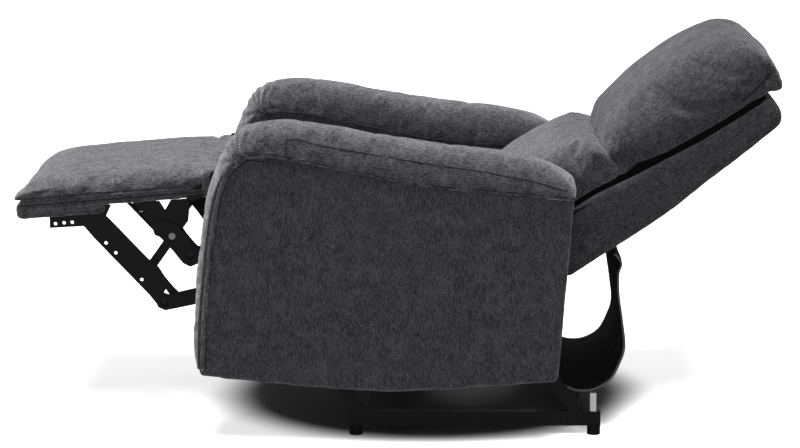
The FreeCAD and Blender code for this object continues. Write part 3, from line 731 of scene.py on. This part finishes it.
# %% Arm cap
cap = slab("arm_cap_cover_left", cap_outline, CAP_MIDDLE - CAP_HALF, CAP_MIDDLE + CAP_HALF)
even_mesh(cap, 0.0055)
cap_spine = drawn(CAP_FOOT, 2)
crown(cap, cap_spine, CAP_MIDDLE, CAP_HALF, 2.6)
FOLD = side(-318, 622)
CAP_SEAM = side(-196, 640)


def cap_held(places):
    """The cap is sewn down along its foot line and at the fold near the front corner."""
    line = np.array(cap_spine)
    gap = np.min(np.linalg.norm(places[:, None, 1:] - line[None], axis=2), axis=1)
    return gap < 0.009


stuff(cap, cap_held, pressure=3.0, growth=0.035, most=0.010)
gather(cap, lambda p: np.hypot(p[:, 1] - FOLD[0], p[:, 2] - FOLD[1]),
       lambda p: np.arctan2(p[:, 2] - FOLD[1], p[:, 1] - FOLD[0]) * 0.05, 0.0075, 0.045, 0.024, 2.0)
pinch(cap, lambda p: np.where(p[:, 2] > FOLD[1] - 0.01, p[:, 1] - CAP_SEAM[0], 1.0), 0.0022, 0.004)
ripple(cap, 0.0018, 0.06, 7.0)

arm_caps = {}
for source, node_names in ((arm_body, ("arm_frame", "arm_inner_panel", "arm_outer_panel", "arm_front_cover")),
                           (cap, ("arm_cap",))):
    right = mirrored(source, source.name.replace("left", "right"))
    for piece, side_name in ((source, "left"), (right, "right")):
        fabric = panel_fabric_painted_sheen if source is arm_body else level_fabric_painted_sheen
        finish_piece(piece, "seat_unit", "upholstery", fabric,
                     *[f"{name}_{side_name}" for name in node_names], fill=0.7)
        if source is cap:
            arm_caps[side_name] = piece

# %% Piping and a stitch line round the front corner of each outer panel
def line_inset(points, inset):
    """The same side-view line, moved to its right by the inset in metres."""
    line = np.array(points)
    step = np.gradient(line, axis=0)
    step /= np.linalg.norm(step, axis=1)[:, None]
    return line + np.stack([step[:, 1], -step[:, 0]], 1) * inset


front_line = drawn(PANEL_FRONT + PANEL_TOP[:2], 6)
for sign, side_name in ((1, "left"), (-1, "right")):
    for label, inset, radius in (("welt", 0.003, 0.0035), ("stitch", 0.017, 0.0011)):
        path = [(sign * (ARM_OUTER + 0.0005), y, z) for y, z in line_inset(front_line, inset)]
        tube_along(f"arm_{label}_{side_name}", path, radius, "seat_unit",
                   panel_fabric_painted_sheen if label == "welt" else seam_fabric)

# %% Seams on the caps
SIDE_SEAM = [(-224, 622), (-225, 638), (-222, 650), (-196, 650), (-160, 640), (-60, 622), (60, 602),
             (190, 582), (290, 562), (345, 545)]
for sign, side_name in ((1, "left"), (-1, "right")):
    seam = drawn(SIDE_SEAM, 5)
    tube_along(f"cap_seam_{side_name}", on_surface(arm_caps[side_name], seam, sign), 0.0011, "seat_unit",
               seam_fabric)
    # A dark cord along the foot of each cap is the seam there and also stands in for the shade under the
    # cap's overhang: painted shade.
    foot = [(sign * (ARM_OUTER + 0.0045), y, z) for y, z in drawn([(-316, 616), *PANEL_TOP], 4)]
    tube_along(f"cap_foot_seam_{side_name}", foot, 0.0016, "seat_unit", seam_fabric)

# %% [markdown]
# ## Seat cushion
# A wide foam pad, highest at its front edge and falling to the back, with its sides pulled in.

# %% Seat cushion
CUSHION_HALF = 0.255
cushion_outline = drawn([(-326, 492), (-330, 540), (-300, 565), (-200, 566), (-60, 548), (80, 524),
                         (124, 512), (128, 490)], 4)
cushion = slab("seat_cushion_cover", cushion_outline, -CUSHION_HALF, CUSHION_HALF)
soften(cushion, 0.012, 3, 60)
even_mesh(cushion, 0.0075)
crown(cushion, [side(-330, 500), side(128, 494)], 0, 0.262, 5.0)
stuff(cushion, lambda p: (p[:, 2] < 0.497) | (np.abs(p[:, 0]) > 0.252), 4.0, 0.02, 0.020)
ripple(cushion, 0.002, 0.1, 11.0)
finish_piece(cushion, "seat_unit", "upholstery", level_fabric_painted_sheen, "seat_cushion", fill=0.7)

# %% [markdown]
# ## Back
# The back is a tapered shell covered in the same cloth, with a lumbar pad below and one large
# head pillow above.  The cover is pulled down into the deep crease between the two, so folds run
# out of it on both sides.  A black sheet fills the gap between the cushions and the shell as
# painted shade, and the shell is narrower above its brackets.

# %% Back shell
SHELL_HALF = 0.2578
GAP_SHADE_HALF = 0.2440
LUMBAR_HALF = 0.249
NARROW_FROM = 0.27
NARROW_OVER = 0.10
NARROW_SHARE = 0.022
CREASE = 0.224
shell_outline = smooth([on_back(*point) for point in
                        [(8, -124), (92, -129), (245, -137), (400, -134), (545, -129), (566, -122),
                         (576, -104), (577, -66)]], 4)
shell_outline += [on_back(*point) for point in
                  [(500, -63), (406, -55), (250, -32), (165, -16), (90, -10), (30, -12), (10, -30)]]
shell = slab("back_shell_cover", shell_outline, -SHELL_HALF, SHELL_HALF)
soften(shell, 0.010, 3, 30)

# %% Black sheet of painted shade that fills the gap between the cushions and the shell
gap_shade_outline = [on_back(*point) for point in
                  [(20, -40), (90, -40), (406, -72), (566, -80), (568, -40), (500, -36), (406, -28), (240, 0),
                   (165, 4), (20, 8)]]
back_gap_painted_shade = slab("back_gap_painted_shade", gap_shade_outline, -GAP_SHADE_HALF, GAP_SHADE_HALF)
soften(back_gap_painted_shade, 0.006, 2, 30)
even_mesh(back_gap_painted_shade, 0.009)
finish_piece(back_gap_painted_shade, "back", "black_fabric", lining, levels=0)

# %% Shell narrowed above its brackets, and the lumbar pad
def back_coordinates(places):
    """(along, out) of each point, in metres, from the back hinge."""
    hinge = np.array(side(*BACK_HINGE))
    offset = places[:, 1:] - hinge
    along = offset[:, 0] * cos(BACK_ANGLE) + offset[:, 1] * sin(BACK_ANGLE)
    out = -offset[:, 0] * sin(BACK_ANGLE) + offset[:, 1] * cos(BACK_ANGLE)
    return along, out


even_mesh(shell, 0.008, 12)
places = coordinates(shell.data)
narrowing = np.clip((back_coordinates(places)[0] - NARROW_FROM) / NARROW_OVER, 0, 1)
places[:, 0] *= 1 - NARROW_SHARE * narrowing ** 2 * (3 - 2 * narrowing)
set_coordinates(shell.data, places)
ripple(shell, 0.0012, 0.12, 17.0)
finish_piece(shell, "back", "upholstery", back_fabric_painted_sheen, "back_shell", "back_side_rails",
             "back_cross_rails", "back_springs")

lumbar_outline = smooth([on_back(*point) for point in
                         [(-60, 40), (-20, 8), (60, -3), (165, -8), (226, -16), (236, 10), (234, 44),
                          (226, 68), (206, 85), (170, 95), (115, 104), (60, 109), (-10, 107), (-50, 99),
                          (-64, 72)]], 4, closed=True)
lumbar = slab("lumbar_cover", lumbar_outline, -LUMBAR_HALF, LUMBAR_HALF)
even_mesh(lumbar, 0.007)
crown(lumbar, [on_back(-60, 20), on_back(230, 0)], 0, 0.256, 5.0)
stuff(lumbar, lambda p: (back_coordinates(p)[1] < 0.012) | (back_coordinates(p)[0] > 0.216),
      4.0, 0.03, 0.014)
gather(lumbar, lambda p: back_coordinates(p)[0] - CREASE, lambda p: p[:, 0] + back_coordinates(p)[1] * 0.4,
       0.0042, 0.06, 0.038, 4.0)
finish_piece(lumbar, "back", "upholstery", lumbar_fabric_painted_sheen, "lumbar_cushion", fill=0.6)

# %% Head pillow
PILLOW_HALF = 0.2495
TUCK_ALONG = 0.596
TUCK_OUT = -0.030
TUCK_SIDE = 0.249
pillow_outline = smooth([on_back(*point) for point in
                         [(222, -14), (300, -28), (406, -46), (500, -56), (570, -62), (586, -70), (596, -80),
                          (604, -80), (614, -62), (623, -34), (626, 0), (621, 34), (602, 64), (568, 83),
                          (520, 94), (460, 99), (390, 98), (330, 93), (280, 85), (244, 75), (226, 58),
                          (220, 26)]], 4, closed=True)
pillow = slab("head_pillow_cover", pillow_outline, -PILLOW_HALF, PILLOW_HALF)
even_mesh(pillow, 0.0068)
PILLOW_SPINE = [on_back(*point) for point in [(234, -18), (406, -39), (560, -48), (606, -46)]]
crown(pillow, PILLOW_SPINE, 0, 0.2555, 3.4)


def pillow_held(places):
    """The pillow is sewn down into the crease and tacked along its rolled lower edge."""
    along, out = back_coordinates(places)
    return (along < 0.246) | (out < -0.030 - 0.06 * (along - 0.24))


stuff(pillow, pillow_held, 3.5, 0.018, 0.012)
gather(pillow, lambda p: back_coordinates(p)[0] - CREASE, lambda p: p[:, 0] + back_coordinates(p)[1] * 0.5,
       0.006, 0.075, 0.06, 6.0)


def tuck_gap(places):
    """Distance from the tuck near the top end of each side, where the folds start."""
    along, out = back_coordinates(places)
    inward = np.abs(places[:, 0]) - TUCK_SIDE
    return np.sqrt((along - TUCK_ALONG) ** 2 + (out - TUCK_OUT) ** 2 + inward ** 2)


def tuck_turn(places):
    """Angle round the tuck, as a length."""
    along, out = back_coordinates(places)
    return np.arctan2(out - TUCK_OUT, along - TUCK_ALONG) * 0.06


gather(pillow, tuck_gap, tuck_turn, 0.003, 0.06, 0.032, 8.0)
pinch(pillow, tuck_gap, 0.010, 0.016)
ripple(pillow, 0.0028, 0.09, 21.0)
finish_piece(pillow, "back", "upholstery", back_fabric_painted_sheen, "head_pillow", fill=0.65)
for sign, side_name in ((1, "left"), (-1, "right")):
    seam = smooth([on_back(*point) for point in [(520, -38), (550, -36), (580, -31), (604, -27)]], 6)
    tube_along(f"pillow_piping_{side_name}", on_surface(pillow, seam, sign), 0.0022, "back", seam_fabric)

# %% [markdown]
# ## Footrest
# A board with a crowned pad.  A flat band runs round the pad between two seams, and a second,
# tighter strip of the same cloth wraps the front edge of the board.

# %% Footrest pad, band and strip
PAD_HALF = 0.2480
BAND_HALF = 0.2485
STRIP_HALF = 0.2492
PAD_SEAM = side(-394, 0)[0]
pad_outline = smooth([on_footrest(*point) for point in
                      [(-788, 23), (-600, 24), (-396, 24), (-392, 36), (-396, 57), (-440, 60), (-560, 60),
                       (-660, 60), (-728, 58), (-770, 51), (-789, 40)]], 4, closed=True)
pad = slab("footrest_pad_cover", pad_outline, -PAD_HALF, PAD_HALF)
even_mesh(pad, 0.007)
crown(pad, [on_footrest(-790, 26), on_footrest(-392, 26)], 0, 0.2555, 3.4)


def footrest_height(places):
    """Height of each point above the underside of the board, in metres."""
    rear = np.array(side(*FOOTREST_REAR))
    return places[:, 2] - rear[1] - (places[:, 1] - rear[0]) * FOOTREST_SLOPE


stuff(pad, lambda p: (footrest_height(p) < 0.030) | (p[:, 1] > side(-400, 0)[0]), 4.0, 0.03, 0.010)
gather(pad, lambda p: p[:, 1] - PAD_SEAM, lambda p: p[:, 0], 0.003, 0.05, 0.045, 14.0)
gather(pad, lambda p: footrest_height(p) - 0.026, lambda p: p[:, 1], 0.0022, 0.02, 0.05, 24.0)
ripple(pad, 0.0018, 0.09, 15.0)
finish_piece(pad, "footrest", "upholstery", level_fabric_painted_sheen, "footrest_pad", fill=0.6)

band_outline = [on_footrest(*point) for point in [(-792, 0), (-396, 0), (-394, 26), (-790, 26)]]
band = slab("footrest_band", band_outline, -BAND_HALF, BAND_HALF)
soften(band, 0.005, 3, 30)
even_mesh(band, 0.006)
ripple(band, 0.001, 0.05, 16.0)
finish_piece(band, "footrest", "upholstery", level_fabric_painted_sheen, "footrest_board")

strip_outline = [on_footrest(*point) for point in
                 [(-797, 14), (-797, -12), (-785, -16), (-612, -17), (-609, 3), (-780, 3), (-788, 22)]]
strip = slab("footrest_front_wrap", strip_outline, -STRIP_HALF, STRIP_HALF)
soften(strip, 0.004, 2, 30)
even_mesh(strip, 0.006)
finish_piece(strip, "footrest", "upholstery", level_fabric_painted_sheen, "footrest_front_strip")
for sign, side_name in ((1, "left"), (-1, "right")):
    for level_name, above in (("upper", 26.5), ("lower", 13)):
        seam = [on_footrest(y, above) for y in (-788, -700, -600, -500, -396)]
        tube_along(f"footrest_{level_name}_seam_{side_name}", [(sign * BAND_HALF, y, z) for y, z in seam],
                   0.0012, "footrest", seam_fabric)

# %% Bridge of fabric from the seat to the footrest
BRIDGE_HALF = 0.2500
bridge_outline = smooth([side(*point) for point in
                         [(-410, 510), (-394, 504), (-360, 504), (-330, 506), (-327, 530), (-332, 548),
                          (-350, 560), (-372, 566), (-398, 567), (-410, 562)]], 4, closed=True)
bridge = slab("footrest_bridge_cover", bridge_outline, -BRIDGE_HALF, BRIDGE_HALF)
even_mesh(bridge, 0.007)
crown(bridge, [side(-402, 535), side(-330, 535)], 0, 0.256, 9.0)
gather(bridge, lambda p: p[:, 1] - PAD_SEAM, lambda p: p[:, 0], 0.003, 0.05, 0.045, 14.0)
finish_piece(bridge, None, "upholstery", level_fabric_painted_sheen, "footrest_bridge", fill=0.5)
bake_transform(bridge)

# %% [markdown]
# ## Rear flap
# A strip of black lining hangs between the back and the foot of the body and hides the springs.
# It is one sheet, laid through its hanging line as a grid, with a grey tape along both edges.

# %% Rear flap
flap_line = smooth([side(*point) for point in
                    [(340, 110), (372, 96), (410, 98), (444, 118), (463, 152), (474, 190), (468, 250),
                     (461, 300), (460, 345), (466, 368), (452, 388)]], 5)
deselect()
bpy.ops.mesh.primitive_grid_add(x_subdivisions=24, y_subdivisions=len(flap_line) - 1, size=1.0)
flap = bpy.context.active_object
flap.name = "rear_flap_cloth"
flap_half = 0.244
places = coordinates(flap.data)
rows = np.round((places[:, 1] + 0.5) * (len(flap_line) - 1)).astype(int)
line = np.array(flap_line)
sway = np.array([0.004 * noise.noise(Vector((p[0] * 6, r * 0.12, 2.0))) for p, r in zip(places, rows)])
across = places[:, 0] * 2 * flap_half
set_coordinates(flap.data, np.stack([across, line[rows, 0] + sway, line[rows, 1]], 1))
apply_modifier(flap, "SOLIDIFY", thickness=0.002, offset=0)
finish_piece(flap, None, "black_fabric", lining, "rear_flap", levels=1)
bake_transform(flap)
for sign, side_name in ((1, "left"), (-1, "right")):
    tape = tube_along(f"flap_tape_{side_name}", [(sign * flap_half, y, z) for y, z in flap_line], 0.0022,
                      None, edge_tape, slot="black_fabric")
    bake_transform(tape)

# %% [markdown]
# ## Rivets
# The links turn on rivets.  Their low heads are pressed domes, made as flattened spheres that sink
# half way into the plates, and they ride on the plate that holds them.  They are lowest where
# another plate passes close by.

# %% Rivet heads
RIVET_RADIUS = 0.0085
LINK_FACES = {"bell_link": 0.2565, "front_link": 0.2475, "toggle_link": 0.2520, "footrest": 0.2430}
RIVET_HEIGHTS = {"bell_link": 0.0013, "front_link": 0.0025, "toggle_link": 0.0013, "footrest": 0.0025}
RIVET_PLACES = {
    "bell_link": [(-312, 468), (-433, 386), (-490, 286)],
    "front_link": [(-490, 286)],
    "toggle_link": [(-433, 386)],
    "footrest": [(-640, 455), (-500, 447)],
}

for body_name, spots in RIVET_PLACES.items():
    places = [(sign * LINK_FACES[body_name], *side(*spot)) for sign in (1, -1) for spot in spots]
    rivets(f"rivets_{body_name}", places, RIVET_RADIUS, RIVET_HEIGHTS[body_name], body_name, black_coat,
           "black_steel")
